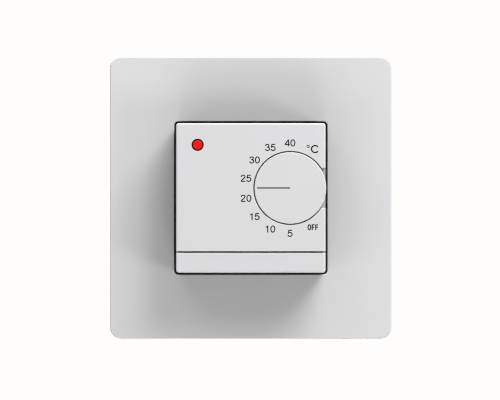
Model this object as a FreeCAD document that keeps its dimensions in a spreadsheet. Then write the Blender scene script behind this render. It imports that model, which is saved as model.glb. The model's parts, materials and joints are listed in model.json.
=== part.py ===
"""Flush-mounted dial thermostat for a round wall box, as a parametric FreeCAD assembly.

Frame: the wall surface is the plane y = 0, the room is on the -Y side, +Z is up and +X is to the right as seen
from the room. The origin is the centre of the wall-box screw pattern. Most sizes are given as a height above the
wall, called "level" here: a point at level f has y = -f, so parts inside the wall box have negative levels.
"""
import FreeCAD, Part
import Sketcher
import math
import os

from FreeCAD import Placement, Rotation, Vector

doc = FreeCAD.newDocument("WallThermostat")
sheet = doc.addObject("Spreadsheet::Sheet", "Dimensions")
_rows = [1]


class Q:
    """A size: its number, and the expression that FreeCAD stores for it."""

    def __init__(self, value, text=None):
        self.value = float(value)
        self.text = text if text is not None else repr(float(value))
        self.driven = text is not None

    @staticmethod
    def of(x):
        return x if isinstance(x, Q) else Q(x)

    def _join(self, other, sign, value):
        other = Q.of(other)
        joined = Q(value, "(%s %s %s)" % (self.text, sign, other.text))
        joined.driven = self.driven or other.driven
        return joined

    def __add__(self, o):
        return self._join(o, "+", self.value + Q.of(o).value)

    def __radd__(self, o):
        return Q.of(o) + self

    def __sub__(self, o):
        return self._join(o, "-", self.value - Q.of(o).value)

    def __rsub__(self, o):
        return Q.of(o) - self

    def __mul__(self, o):
        return self._join(o, "*", self.value * Q.of(o).value)

    def __rmul__(self, o):
        return Q.of(o) * self

    def __truediv__(self, o):
        return self._join(o, "/", self.value / Q.of(o).value)

    def __neg__(self):
        return Q.of(0) - self


def turned(radius, degrees, part):
    """radius times the cosine or sine of an angle in degrees."""
    radius, degrees = Q.of(radius), Q.of(degrees)
    f = math.cos if part == "cos" else math.sin
    q = Q(radius.value * f(math.radians(degrees.value)), "(%s * %s(%s * 1 deg))" % (radius.text, part, degrees.text))
    q.driven = radius.driven or degrees.driven
    return q


def dim(alias, value, note):
    """One driving dimension: a row of the sheet with a note, a plain number and an alias."""
    r = _rows[0]
    sheet.set("A%d" % r, note)
    sheet.set("B%d" % r, "%g" % value)
    sheet.setAlias("B%d" % r, alias)
    _rows[0] = r + 1
    return Q(value, "Dimensions." + alias)


# ------------------------------------------------------------------ driving dimensions (mm, degrees)
frame_side = dim("frame_side", 86, "outer frame, side of the square")
frame_corner = dim("frame_corner", 3.7, "outer frame, corner radius")
frame_front = dim("frame_front", 9, "outer frame, level of its front face")
frame_wall = dim("frame_wall", 2, "outer frame, skirt and panel thickness")
frame_edge = dim("frame_edge", 0.5, "outer frame, rounding of the front edge")
opening_side = dim("opening_side", 46.5, "outer frame, side of the opening")
opening_corner = dim("opening_corner", 1.15, "outer frame, corner radius of the opening")
collar_wall = dim("collar_wall", 1.5, "outer frame, thickness of the collar round the opening")
plate_side = dim("plate_side", 70.6, "mounting plate, side")
plate_thick = dim("plate_thick", 1, "mounting plate, thickness")
slot_pitch = dim("slot_pitch", 60, "wall-box screw pitch")
slot_length = dim("slot_length", 7, "wall-box screw slots, length end to end")
slot_width = dim("slot_width", 4.2, "wall-box screw slots, width")
window_side = dim("window_side", 31, "mounting plate, side of the window")
tab_reach = dim("tab_reach", 5, "mounting plate, height of the bent latch tabs")
screw_place = dim("screw_place", 16.6, "casing screws, distance from the centre lines")
cover_side = dim("cover_side", 45, "module cover, side of the square")
cover_corner = dim("cover_corner", 0.8, "module cover, corner radius")
cover_front = dim("cover_front", 21, "module cover, level of the front face")
cover_rim = dim("cover_rim", 3.4, "module cover, level of its rear rim")
cover_wall = dim("cover_wall", 1.5, "module cover, wall thickness")
cover_edge = dim("cover_edge", 0.48, "module cover, rounding of the front edge")
knob_x = dim("knob_x", 11.9, "dial, distance right of the centre")
knob_z = dim("knob_z", 3, "dial, distance above the centre")
knob_size = dim("knob_size", 10.8, "dial, radius")
ring_gap = dim("ring_gap", 0.35, "gap round the dial and the indicator")
well_level = dim("well_level", 14.2, "dial well, level of its floor")
well_floor = dim("well_floor", 1.4, "dial well, floor thickness")
notch_half = dim("notch_half", 6, "finger notch, half of its height")
ledge_level = dim("ledge_level", 19.6, "finger notch and the ledge under the dial's rim, level")
skirt_size = dim("skirt_size", 9.6, "dial, radius of the body below its rim")
skirt_gap = dim("skirt_gap", 0.35, "gap round the dial's body")
stop_radius = dim("stop_radius", 7.2, "dial stop, radius of the peg's path")
stop_peg = dim("stop_peg", 0.9, "dial stop, radius of the peg")
stop_up = dim("stop_up", 121.5, "dial stop groove, end angle above the right")
stop_down = dim("stop_down", 91.5, "dial stop groove, end angle below the right")
lamp_x = dim("lamp_x", 16, "indicator, distance left of the centre")
lamp_z = dim("lamp_z", 16, "indicator, distance above the centre")
lamp_size = dim("lamp_size", 1.4, "indicator lens, radius")
lamp_hole = dim("lamp_hole", 1.85, "indicator hole in the cover, radius")
groove_low = dim("groove_low", 16.54, "lower strip, distance of its top edge below the centre")
groove_high = dim("groove_high", 16.06, "module cover, distance of its bottom edge below the centre")
strip_level = dim("strip_level", 16, "lower strip, level of the seat it stands on")
carrier_side = dim("carrier_side", 41.6, "carrier, outer side of its walls")
carrier_wall = dim("carrier_wall", 1.4, "carrier, wall thickness")
carrier_top = dim("carrier_top", 11.4, "carrier, level of the wall tops")
board_thick = dim("board_thick", 1.6, "circuit boards, thickness")
board_level = dim("board_level", 6, "control board, level of its rear face")
board_side = dim("board_side", 38, "control board, side")
power_level = dim("power_level", -4.6, "power board, level of its rear face")
house_side = dim("house_side", 47, "rear housing, side")
house_cut = dim("house_cut", 7, "rear housing, corner cut")
house_deep = dim("house_deep", 26, "rear housing, depth into the wall box")
house_wall = dim("house_wall", 1.6, "rear housing, wall thickness")
step_deep = dim("step_deep", 9, "rear housing, depth over the terminals")
step_low = dim("step_low", 11.5, "rear housing, distance of the step below the centre")
pole_pitch = dim("pole_pitch", 5, "terminals, pitch")


# ------------------------------------------------------------------ sketch and feature helpers
def put(obj, prop, q):
    """Sets a property from a size, bound to the sheet where the size comes from it."""
    q = Q.of(q)
    if q.driven:
        obj.setExpression(prop, q.text)
    else:
        owner, path = obj, prop.split(".")
        if len(path) == 1:
            setattr(owner, prop, q.value)
        else:
            obj.setExpression(prop, q.text)


def new_body(label):
    body = doc.addObject("PartDesign::Body", label)
    body.Label = label
    body.AllowCompound = True
    return body


def sketch(body, name, level=None, plane="XZ_Plane"):
    """A sketch on one of the body's own planes. On XZ_Plane its level is its height above the wall."""
    sk = body.newObject("Sketcher::SketchObject", name)
    origin_plane = [f for f in body.Origin.OriginFeatures if f.Role == plane][0]
    sk.AttachmentSupport = [(origin_plane, "")]
    sk.MapMode = "FlatFace"
    if level is not None:
        put(sk, "AttachmentOffset.Base.z", level)
    return sk


def hold(sk, kind, *refs_and_size):
    """Adds a driving constraint whose last argument is a size."""
    *refs, size = refs_and_size
    size = Q.of(size)
    i = sk.addConstraint(Sketcher.Constraint(kind, *refs, size.value))
    if size.driven:
        sk.setExpression("Constraints[%d]" % i, size.text)


def fix_point(sk, geo, pos, x, y):
    """Holds a point at x, y in the sketch; a zero goes onto the sketch's own axis."""
    x, y = Q.of(x), Q.of(y)
    if abs(x.value) < 1e-9 and not x.driven:
        sk.addConstraint(Sketcher.Constraint("PointOnObject", geo, pos, -2))
    else:
        hold(sk, "DistanceX", -1, 1, geo, pos, x)
    if abs(y.value) < 1e-9 and not y.driven:
        sk.addConstraint(Sketcher.Constraint("PointOnObject", geo, pos, -1))
    else:
        hold(sk, "DistanceY", -1, 1, geo, pos, y)


def polygon(sk, points):
    """A closed outline of straight lines through the points."""
    first = sk.GeometryCount
    n = len(points)
    v = [Vector(Q.of(x).value, Q.of(y).value, 0) for x, y in points]
    sk.addGeometry([Part.LineSegment(v[i], v[(i + 1) % n]) for i in range(n)], False)
    for i in range(n):
        sk.addConstraint(Sketcher.Constraint("Coincident", first + i, 2, first + (i + 1) % n, 1))
    for i, (x, y) in enumerate(points):
        fix_point(sk, first + i, 1, x, y)


def rect(sk, x0, x1, y0, y1):
    """A rectangle by its two sides in x and in y."""
    x0, x1, y0, y1 = (Q.of(q) for q in (x0, x1, y0, y1))
    a = sk.GeometryCount
    p = [Vector(x0.value, y0.value, 0), Vector(x1.value, y0.value, 0), Vector(x1.value, y1.value, 0), Vector(x0.value, y1.value, 0)]
    sk.addGeometry([Part.LineSegment(p[i], p[(i + 1) % 4]) for i in range(4)], False)
    for i in range(4):
        sk.addConstraint(Sketcher.Constraint("Coincident", a + i, 2, a + (i + 1) % 4, 1))
    for i in (0, 2):
        sk.addConstraint(Sketcher.Constraint("Horizontal", a + i))
    for i in (1, 3):
        sk.addConstraint(Sketcher.Constraint("Vertical", a + i))
    fix_point(sk, a, 1, x0, y0)
    fix_point(sk, a + 2, 1, x1, y1)


def square(sk, side, cx=0, cy=0):
    rect(sk, Q.of(cx) - Q.of(side) / 2, Q.of(cx) + Q.of(side) / 2, Q.of(cy) - Q.of(side) / 2, Q.of(cy) + Q.of(side) / 2)


def rounded(sk, w, h, r, cx=0, cy=0):
    """A rectangle with round corners: four lines and four tangent arcs of one radius."""
    w, h, r, cx, cy = (Q.of(q) for q in (w, h, r, cx, cy))
    a = sk.GeometryCount
    x0, x1 = cx.value - w.value / 2, cx.value + w.value / 2
    y0, y1 = cy.value - h.value / 2, cy.value + h.value / 2
    k = r.value
    z = Vector(0, 0, 1)

    def arc(x, y, start):
        return Part.ArcOfCircle(Part.Circle(Vector(x, y, 0), z, k), math.radians(start), math.radians(start + 90))

    sk.addGeometry(
        [
            Part.LineSegment(Vector(x0 + k, y0, 0), Vector(x1 - k, y0, 0)),
            arc(x1 - k, y0 + k, -90),
            Part.LineSegment(Vector(x1, y0 + k, 0), Vector(x1, y1 - k, 0)),
            arc(x1 - k, y1 - k, 0),
            Part.LineSegment(Vector(x1 - k, y1, 0), Vector(x0 + k, y1, 0)),
            arc(x0 + k, y1 - k, 90),
            Part.LineSegment(Vector(x0, y1 - k, 0), Vector(x0, y0 + k, 0)),
            arc(x0 + k, y0 + k, 180),
        ],
        False,
    )
    for i in range(8):
        sk.addConstraint(Sketcher.Constraint("Tangent", a + i, 2, a + (i + 1) % 8, 1))
    for i in (0, 4):
        sk.addConstraint(Sketcher.Constraint("Horizontal", a + i))
    for i in (2, 6):
        sk.addConstraint(Sketcher.Constraint("Vertical", a + i))
    hold(sk, "Radius", a + 1, r)
    for i in (3, 5, 7):
        sk.addConstraint(Sketcher.Constraint("Equal", a + 1, a + i))
    fix_point(sk, a + 7, 3, cx - w / 2 + r, cy - h / 2 + r)
    fix_point(sk, a + 3, 3, cx + w / 2 - r, cy + h / 2 - r)


def circle(sk, r, cx=0, cy=0):
    r, cx, cy = Q.of(r), Q.of(cx), Q.of(cy)
    g = sk.GeometryCount
    sk.addGeometry(Part.Circle(Vector(cx.value, cy.value, 0), Vector(0, 0, 1), r.value), False)
    hold(sk, "Radius", g, r)
    fix_point(sk, g, 3, cx, cy)


def slot(sk, length, width, cx=0, cy=0):
    """A straight slot with round ends, running along the sketch's x."""
    length, width, cx, cy = (Q.of(q) for q in (length, width, cx, cy))
    a = sk.GeometryCount
    k, reach = width.value / 2, length.value / 2 - width.value / 2
    x, y = cx.value, cy.value
    z = Vector(0, 0, 1)
    sk.addGeometry(
        [
            Part.LineSegment(Vector(x - reach, y - k, 0), Vector(x + reach, y - k, 0)),
            Part.ArcOfCircle(Part.Circle(Vector(x + reach, y, 0), z, k), -math.pi / 2, math.pi / 2),
            Part.LineSegment(Vector(x + reach, y + k, 0), Vector(x - reach, y + k, 0)),
            Part.ArcOfCircle(Part.Circle(Vector(x - reach, y, 0), z, k), math.pi / 2, 3 * math.pi / 2),
        ],
        False,
    )
    for i in range(4):
        sk.addConstraint(Sketcher.Constraint("Tangent", a + i, 2, a + (i + 1) % 4, 1))
    sk.addConstraint(Sketcher.Constraint("Horizontal", a))
    hold(sk, "Radius", a + 1, width / 2)
    fix_point(sk, a + 1, 3, cx + length / 2 - width / 2, cy)
    hold(sk, "DistanceX", a + 3, 3, a + 1, 3, length - width)


def chord_circle(sk, r, cx, cy, chord_x):
    """A circle cut off straight at its right side."""
    r, cx, cy, chord_x = (Q.of(q) for q in (r, cx, cy, chord_x))
    t = math.acos((chord_x.value - cx.value) / r.value)
    g = sk.GeometryCount
    up = Vector(chord_x.value, cy.value + r.value * math.sin(t), 0)
    down = Vector(chord_x.value, cy.value - r.value * math.sin(t), 0)
    sk.addGeometry(
        [
            Part.ArcOfCircle(Part.Circle(Vector(cx.value, cy.value, 0), Vector(0, 0, 1), r.value), t, 2 * math.pi - t),
            Part.LineSegment(down, up),
        ],
        False,
    )
    sk.addConstraint(Sketcher.Constraint("Coincident", g, 2, g + 1, 1))
    sk.addConstraint(Sketcher.Constraint("Coincident", g + 1, 2, g, 1))
    sk.addConstraint(Sketcher.Constraint("Vertical", g + 1))
    hold(sk, "Radius", g, r)
    fix_point(sk, g, 3, cx, cy)
    hold(sk, "DistanceX", -1, 1, g + 1, 1, chord_x)


def arc_slot(sk, cx, cy, radius, half_width, low, high):
    """A curved slot round cx, cy, from the angle -low to the angle +high, with round ends."""
    cx, cy, radius, half_width, low, high = (Q.of(q) for q in (cx, cy, radius, half_width, low, high))
    g = sk.GeometryCount
    c, z = Vector(cx.value, cy.value, 0), Vector(0, 0, 1)
    a0, a1 = math.radians(-low.value), math.radians(high.value)
    R, w = radius.value, half_width.value
    e1 = c + Vector(R * math.cos(a1), R * math.sin(a1), 0)
    e0 = c + Vector(R * math.cos(a0), R * math.sin(a0), 0)
    sk.addGeometry(
        [
            Part.ArcOfCircle(Part.Circle(c, z, R + w), a0, a1),
            Part.ArcOfCircle(Part.Circle(e1, z, w), a1, a1 + math.pi),
            Part.ArcOfCircle(Part.Circle(c, z, R - w), a0, a1),
            Part.ArcOfCircle(Part.Circle(e0, z, w), a0 + math.pi, a0 + 2 * math.pi),
        ],
        False,
    )
    sk.addConstraint(Sketcher.Constraint("Tangent", g, 2, g + 1, 1))
    sk.addConstraint(Sketcher.Constraint("Tangent", g + 1, 2, g + 2, 2))
    sk.addConstraint(Sketcher.Constraint("Tangent", g + 2, 1, g + 3, 1))
    sk.addConstraint(Sketcher.Constraint("Tangent", g + 3, 2, g, 1))
    sk.addConstraint(Sketcher.Constraint("Coincident", g, 3, g + 2, 3))
    fix_point(sk, g, 3, cx, cy)
    hold(sk, "Radius", g, radius + half_width)
    hold(sk, "Radius", g + 1, half_width)
    hold(sk, "DistanceX", -1, 1, g + 1, 3, cx + turned(radius, high, "cos"))
    hold(sk, "DistanceX", -1, 1, g + 3, 3, cx + turned(radius, low, "cos"))


def pad(body, name, low, high, draw):
    """Material between two levels, in the outline that draw makes."""
    low, high = Q.of(low), Q.of(high)
    sk = sketch(body, name + "_sketch", low)
    draw(sk)
    f = body.newObject("PartDesign::Pad", name)
    f.Profile = sk
    put(f, "Length", high - low)
    sk.Visibility = False
    return f


def pocket(body, name, low, high, draw):
    """A cut between two levels, in the outline that draw makes."""
    low, high = Q.of(low), Q.of(high)
    sk = sketch(body, name + "_sketch", high)
    draw(sk)
    f = body.newObject("PartDesign::Pocket", name)
    f.Profile = sk
    put(f, "Length", high - low)
    return f


def revolve(label, profile, cx=0, cz=0):
    """A turned part: profile is (radius, level) pairs, turned round an axis that runs from the wall to the room."""
    body = new_body(label)
    sk = sketch(body, label + "_profile", None, "XY_Plane")
    polygon(sk, [(r, -Q.of(f)) for r, f in profile])
    f = body.newObject("PartDesign::Revolution", label + "_turned")
    f.Profile = sk
    f.ReferenceAxis = (sk, ["V_Axis"])
    f.Angle = 360.0
    put(body, "Placement.Base.x", cx)
    put(body, "Placement.Base.z", cz)
    return body


def round_edges(body, name, radius, wanted):
    """A fillet on the edges that wanted picks from the body's present shape."""
    doc.recompute()
    base = body.Tip
    names = ["Edge%d" % (i + 1) for i, e in enumerate(base.Shape.Edges) if wanted(e)]
    if not names:
        raise RuntimeError("%s: no edge to round" % name)
    f = body.newObject("PartDesign::Fillet", name)
    f.Base = (base, names)
    put(f, "Radius", radius)
    doc.recompute()
    return f


def at_level(e, level):
    return abs(e.BoundBox.YMin + level) < 1e-4 and abs(e.BoundBox.YMax + level) < 1e-4


def box(label, x0, x1, f0, f1, z0, z1):
    """A Part box between two x, two levels and two z."""
    x0, x1, f0, f1, z0, z1 = (Q.of(q) for q in (x0, x1, f0, f1, z0, z1))
    b = doc.addObject("Part::Box", label)
    b.Label = label
    put(b, "Length", x1 - x0)
    put(b, "Width", f1 - f0)
    put(b, "Height", z1 - z0)
    put(b, "Placement.Base.x", x0)
    put(b, "Placement.Base.y", -f1)
    put(b, "Placement.Base.z", z0)
    return b


def rod(label, axis, r, a, b, p, q):
    """A Part cylinder along axis from a to b. p and q place it: (x, z) for axis f, (level, z) for x, (x, level) for z."""
    r, a, b, p, q = (Q.of(v) for v in (r, a, b, p, q))
    c = doc.addObject("Part::Cylinder", label)
    c.Label = label
    put(c, "Radius", r)
    put(c, "Height", b - a)
    if axis == "f":
        c.Placement = Placement(Vector(0, 0, 0), Rotation(Vector(1, 0, 0), 90))
        place = (p, -a, q)
    elif axis == "x":
        c.Placement = Placement(Vector(0, 0, 0), Rotation(Vector(0, 1, 0), 90))
        place = (a, -p, q)
    else:
        place = (p, -q, a)
    for k, v in zip("xyz", place):
        put(c, "Placement.Base." + k, v)
    return c


def fuse(label, parts):
    f = doc.addObject("Part::MultiFuse", label)
    f.Label = label
    f.Shapes = parts
    return f


def cut(label, base, tool):
    f = doc.addObject("Part::Cut", label)
    f.Label = label
    f.Base = base
    f.Tool = tool
    return f


def group(label, parts):
    f = doc.addObject("Part::Compound", label)
    f.Label = label
    f.Links = parts
    return f


NODES = []


def node(obj):
    NODES.append(obj)
    return obj


# ------------------------------------------------------------------ outer frame
frame = new_body("outer_frame")
pad(frame, "frame_block", 0, frame_front, lambda s: rounded(s, frame_side, frame_side, frame_corner))
round_edges(frame, "frame_front_edge", frame_edge, lambda e: at_level(e, 9))
sk = sketch(frame, "frame_hollow_sketch", 0)
rounded(sk, frame_side - frame_wall * 2, frame_side - frame_wall * 2, frame_corner - 1.8)
f = frame.newObject("PartDesign::Pocket", "frame_hollow")
f.Profile = sk
f.Reversed = True
put(f, "Length", frame_front - frame_wall)
pad(frame, "frame_collar", 1.2, frame_front - 1, lambda s: rounded(s, opening_side + collar_wall * 2, opening_side + collar_wall * 2, opening_corner + collar_wall))
pocket(frame, "frame_opening", 0, frame_front, lambda s: rounded(s, opening_side, opening_side, opening_corner))


def latch_fingers(s):
    for side in (-1, 1):
        a, b = sorted((side * 35.6, side * 37.0))
        rect(s, a, b, -5, 5)


def latch_bumps(s):
    for side in (-1, 1):
        a, b = sorted((side * 34.8, side * 36.0))
        rect(s, a, b, -2.6, 2.6)


def frame_ribs(s):
    """Stiffening ribs between the collar and the skirt, two to a side."""
    for side in (-1, 1):
        for place in (-17.0, 17.0):
            a, b = sorted((side * 24.4, side * 41.5))
            rect(s, place - 0.6, place + 0.6, a, b)
            rect(s, a, b, place - 0.6, place + 0.6)


pad(frame, "frame_latch_fingers", 2.2, frame_front - 1, latch_fingers)
pad(frame, "frame_latch_bumps", 2.9, 3.9, latch_bumps)
pad(frame, "frame_ribs", 4.5, frame_front - 1, frame_ribs)
round_edges(
    frame,
    "frame_opening_edge",
    0.3,
    lambda e: at_level(e, 9) and max(abs(e.BoundBox.XMin), abs(e.BoundBox.XMax), abs(e.BoundBox.ZMin), abs(e.BoundBox.ZMax)) < 23.4,
)
node(frame)

# ------------------------------------------------------------------ mounting plate
plate = new_body("mounting_plate")
pad(plate, "plate_blank", 0, plate_thick, lambda s: rounded(s, plate_side, plate_side, 9))
pocket(plate, "plate_window", 0, plate_thick, lambda s: rounded(s, window_side, window_side, 3))
slot_cut = pocket(plate, "plate_slot", 0, plate_thick, lambda s: slot(s, slot_length, slot_width, slot_pitch / 2, 0))
doc.recompute()
four_slots = plate.newObject("PartDesign::PolarPattern", "plate_slots")
four_slots.Originals = [slot_cut]
four_slots.Axis = ([f for f in plate.Origin.OriginFeatures if f.Role == "Y_Axis"][0], [""])
four_slots.Angle = 360
four_slots.Occurrences = 4
plate.Tip = four_slots
hole_cut = pocket(plate, "plate_screw_hole", 0, plate_thick, lambda s: circle(s, 1.45, screw_place, screw_place))
doc.recompute()
four_holes = plate.newObject("PartDesign::PolarPattern", "plate_screw_holes")
four_holes.Originals = [hole_cut]
four_holes.Axis = ([f for f in plate.Origin.OriginFeatures if f.Role == "Y_Axis"][0], [""])
four_holes.Angle = 360
four_holes.Occurrences = 4
plate.Tip = four_holes


def plate_tabs(s):
    for side in (-1, 1):
        a, b = sorted((side * 34.3, side * 35.3))
        rect(s, a, b, -6, 6)


pad(plate, "plate_tabs", plate_thick - 0.5, plate_thick + tab_reach, plate_tabs)
sk = sketch(plate, "plate_tab_hole_sketch", None, "YZ_Plane")
rect(sk, -4.6, -2.3, -3.2, 3.2)
f = plate.newObject("PartDesign::Pocket", "plate_tab_holes")
f.Profile = sk
f.Type = "ThroughAll"
f.Midplane = True
node(plate)

# ------------------------------------------------------------------ rear housing
house = new_body("rear_housing")
half = house_side / 2


def octagon(s, half_side, cut_off):
    h, c = Q.of(half_side), Q.of(cut_off)
    polygon(s, [(-h + c, -h), (h - c, -h), (h, -h + c), (h, h - c), (h - c, h), (-h + c, h), (-h, h - c), (-h, -h + c)])


pad(house, "house_block", -house_deep, 0, lambda s: octagon(s, half, house_cut))
pocket(house, "house_terminal_step", -house_deep - 1, -step_deep, lambda s: rect(s, -half - 1, half + 1, -half - 1, -step_low))
inner = half - house_wall
inner_cut = house_cut - house_wall * 0.5858
pocket(house, "house_front_hollow", -(step_deep - house_wall), 0, lambda s: octagon(s, inner, inner_cut))


def upper_hollow(s):
    h, c = inner, inner_cut
    low = -(step_low - house_wall)
    polygon(s, [(-h, low), (h, low), (h, h - c), (h - c, h), (-h + c, h), (-h, h - c)])


pocket(house, "house_rear_hollow", -(house_deep - house_wall), -(step_deep - house_wall) + 0.1, upper_hollow)


def four(s, draw):
    for sx in (-1, 1):
        for sz in (-1, 1):
            draw(s, sx, sz)


def gussets(s):
    """Webs that tie the screw bosses to the corners and carry the power board."""
    a, k = 1.0, 2.9
    for sx in (-1, 1):
        for sz in (-1, 1):
            p = [(-a, a), (a, -a), (a + k, -a + k), (-a + k, a + k)]
            polygon(s, [((screw_place + u) * sx, (screw_place + v) * sz) for u, v in p])


pad(house, "house_gussets", -8.2, power_level, gussets)


pad(house, "house_bosses", -8.2, 0, lambda s: four(s, lambda s, sx, sz: circle(s, 2.7, screw_place * sx, screw_place * sz)))
pocket(house, "house_boss_pilots", -7.9, 0, lambda s: four(s, lambda s, sx, sz: circle(s, 1.28, screw_place * sx, screw_place * sz)))


def side_ribs(s):
    for side in (-1, 1):
        a, b = sorted((side * 20.3, side * 22.2))
        rect(s, a, b, -7.5, -5.5)
        rect(s, a, b, 5.5, 7.5)


pad(house, "house_board_ribs", -(house_deep - 1), power_level, side_ribs)


def bar_slots(s):
    for i in range(6):
        x = pole_pitch * (i - 2.5)
        rect(s, x - 0.9, x + 0.9, -17.0, -16.0)


pocket(house, "house_bar_slots", -(step_deep + 1), -(step_deep - house_wall) + 0.5, bar_slots)
round_edges(
    house,
    "house_rear_edge",
    0.8,
    lambda e: at_level(e, -26),
)
node(house)

# ------------------------------------------------------------------ carrier behind the cover
carrier = new_body("carrier_frame")
pad(carrier, "carrier_flange", plate_thick, 3, lambda s: rounded(s, opening_side - 0.4, opening_side - 0.4, opening_corner - 0.2))
pad(carrier, "carrier_walls", 2.5, carrier_top, lambda s: rounded(s, carrier_side, carrier_side, 1))
pocket(carrier, "carrier_hollow", 3, carrier_top, lambda s: rounded(s, carrier_side - carrier_wall * 2, carrier_side - carrier_wall * 2, 0.6))
pocket(carrier, "carrier_window", plate_thick, 3, lambda s: rounded(s, 28, 28, 2))
pocket(carrier, "carrier_screw_holes", plate_thick, 3, lambda s: four(s, lambda s, sx, sz: circle(s, 1.45, screw_place * sx, screw_place * sz)))


def board_posts(s):
    for side in (-1, 1):
        a, b = sorted((side * 15.5, side * 19.8))
        rect(s, a, b, -12.5, -7.5)
        rect(s, a, b, 10.0, 14.0)


pad(carrier, "carrier_posts", 2.5, board_level, board_posts)
pocket(carrier, "carrier_post_pilots", 3.2, board_level, lambda s: [circle(s, 0.82, side * 17.2, -10) for side in (-1, 1)])
pad(carrier, "carrier_screw_boss", 2.5, 14.3, lambda s: rect(s, -3, 3, -20.8, -17.6))
pocket(carrier, "carrier_boss_pilot", 5.5, 14.3, lambda s: circle(s, 1.02, 0, -19.3))


def cover_hooks(s):
    rect(s, -13, -8, 20.5, 21.4)
    rect(s, 8, 13, 20.5, 21.4)


pad(carrier, "carrier_cover_hooks", 6.5, 8.5, cover_hooks)
node(carrier)

# ------------------------------------------------------------------ casing screws
screws = new_body("casing_screws")
pad(screws, "screw_shanks", -7.4, 3.5, lambda s: four(s, lambda s, sx, sz: circle(s, 1.25, screw_place * sx, screw_place * sz)))
pad(screws, "screw_heads", 3, 4.7, lambda s: four(s, lambda s, sx, sz: circle(s, 2.2, screw_place * sx, screw_place * sz)))
round_edges(screws, "screw_head_edges", 0.5, lambda e: at_level(e, 4.7))


def cross_bar(s, sx, sz):
    x, z = screw_place * sx, screw_place * sz
    rect(s, x - 1.25, x + 1.25, z - 0.3, z + 0.3)


def cross_bar_2(s, sx, sz):
    x, z = screw_place * sx, screw_place * sz
    rect(s, x - 0.3, x + 0.3, z - 1.25, z + 1.25)


pocket(screws, "screw_cross_a", 3.5, 4.7, lambda s: four(s, cross_bar))
pocket(screws, "screw_cross_b", 3.5, 4.7, lambda s: four(s, cross_bar_2))
node(screws)

# ------------------------------------------------------------------ front cover
cover = new_body("front_cover")
well_size = knob_size + ring_gap
roof = cover_front - 1.6
pad(cover, "cover_block", cover_rim, cover_front, lambda s: rounded(s, cover_side, cover_side, cover_corner))
round_edges(cover, "cover_front_edge", cover_edge, lambda e: at_level(e, 21))
sk = sketch(cover, "cover_hollow_sketch", cover_rim)
rounded(sk, cover_side - cover_wall * 2, cover_side - cover_wall * 2, 0.5)
f = cover.newObject("PartDesign::Pocket", "cover_hollow")
f.Profile = sk
f.Reversed = True
put(f, "Length", roof - cover_rim)
pad(cover, "cover_well_wall", well_level - well_floor, ledge_level - 1, lambda s: chord_circle(s, skirt_size + skirt_gap + 1.25, knob_x, knob_z, 21.6))
pad(cover, "cover_ledge", ledge_level - 1.4, roof + 0.5, lambda s: chord_circle(s, well_size + 1.25, knob_x, knob_z, 21.6))


def strip_seat(s):
    rect(s, -21.6, 21.6, -21.6, -(groove_high - 1.5))


pad(cover, "cover_strip_seat", strip_level - 1.6, strip_level, strip_seat)
pad(cover, "cover_strip_wall", strip_level - 1.6, roof + 0.5, lambda s: rect(s, -21.6, 21.6, -groove_high, -(groove_high - 1.5)))
pocket(cover, "cover_rim_seat", ledge_level, cover_front, lambda s: circle(s, well_size, knob_x, knob_z))
pocket(cover, "cover_well", well_level, cover_front, lambda s: circle(s, skirt_size + skirt_gap, knob_x, knob_z))
pocket(cover, "cover_finger_notch", ledge_level, cover_front, lambda s: rect(s, knob_x + 4, 24, knob_z - notch_half, knob_z + notch_half))
pocket(cover, "cover_shaft_hole", well_level - well_floor - 1, well_level, lambda s: circle(s, 3.5, knob_x, knob_z))
pocket(cover, "cover_stop_groove", well_level - 1, well_level, lambda s: arc_slot(s, knob_x, knob_z, stop_radius, stop_peg + 0.25, stop_down, stop_up))
pocket(cover, "cover_strip_recess", strip_level, cover_front, lambda s: rect(s, -24, 24, -24, -groove_high))
pocket(cover, "cover_screw_hole", strip_level - 2, strip_level, lambda s: circle(s, 1.15, 0, -19.3))


def hook_slots(s):
    rect(s, -15.7, -12.3, -19.85, -18.4)
    rect(s, 12.3, 15.7, -19.85, -18.4)


pocket(cover, "cover_hook_slots", strip_level - 2, strip_level, hook_slots)
pad(cover, "cover_lamp_tube", 15.4, roof + 0.3, lambda s: (circle(s, 3.4, -lamp_x, lamp_z), circle(s, 2.5, -lamp_x, lamp_z)))
pocket(cover, "cover_lamp_hole", roof - 0.2, cover_front, lambda s: circle(s, lamp_hole, -lamp_x, lamp_z))


def hook_recess(s):
    rect(s, -13.2, -7.8, 20.8, 21.7)
    rect(s, 7.8, 13.2, 20.8, 21.7)


pocket(cover, "cover_hook_recess", 6.3, 8.7, hook_recess)
round_edges(
    cover,
    "cover_groove_edge",
    0.12,
    lambda e: at_level(e, 21) and abs(e.BoundBox.ZMin + 16.06) < 1e-4 and abs(e.BoundBox.ZMax + 16.06) < 1e-4,
)
round_edges(
    cover,
    "cover_notch_edge",
    0.25,
    lambda e: at_level(e, 21) and e.Curve.TypeId == "Part::GeomLine" and e.BoundBox.XMin > 12 and abs(abs((e.BoundBox.ZMin + e.BoundBox.ZMax) / 2 - 3) - 6) < 1e-3,
)
round_edges(cover, "cover_well_edge", 0.08, lambda e: at_level(e, 21) and e.Curve.TypeId == "Part::GeomCircle" and abs(e.Curve.Radius - 11.15) < 1e-3)
node(cover)

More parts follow.
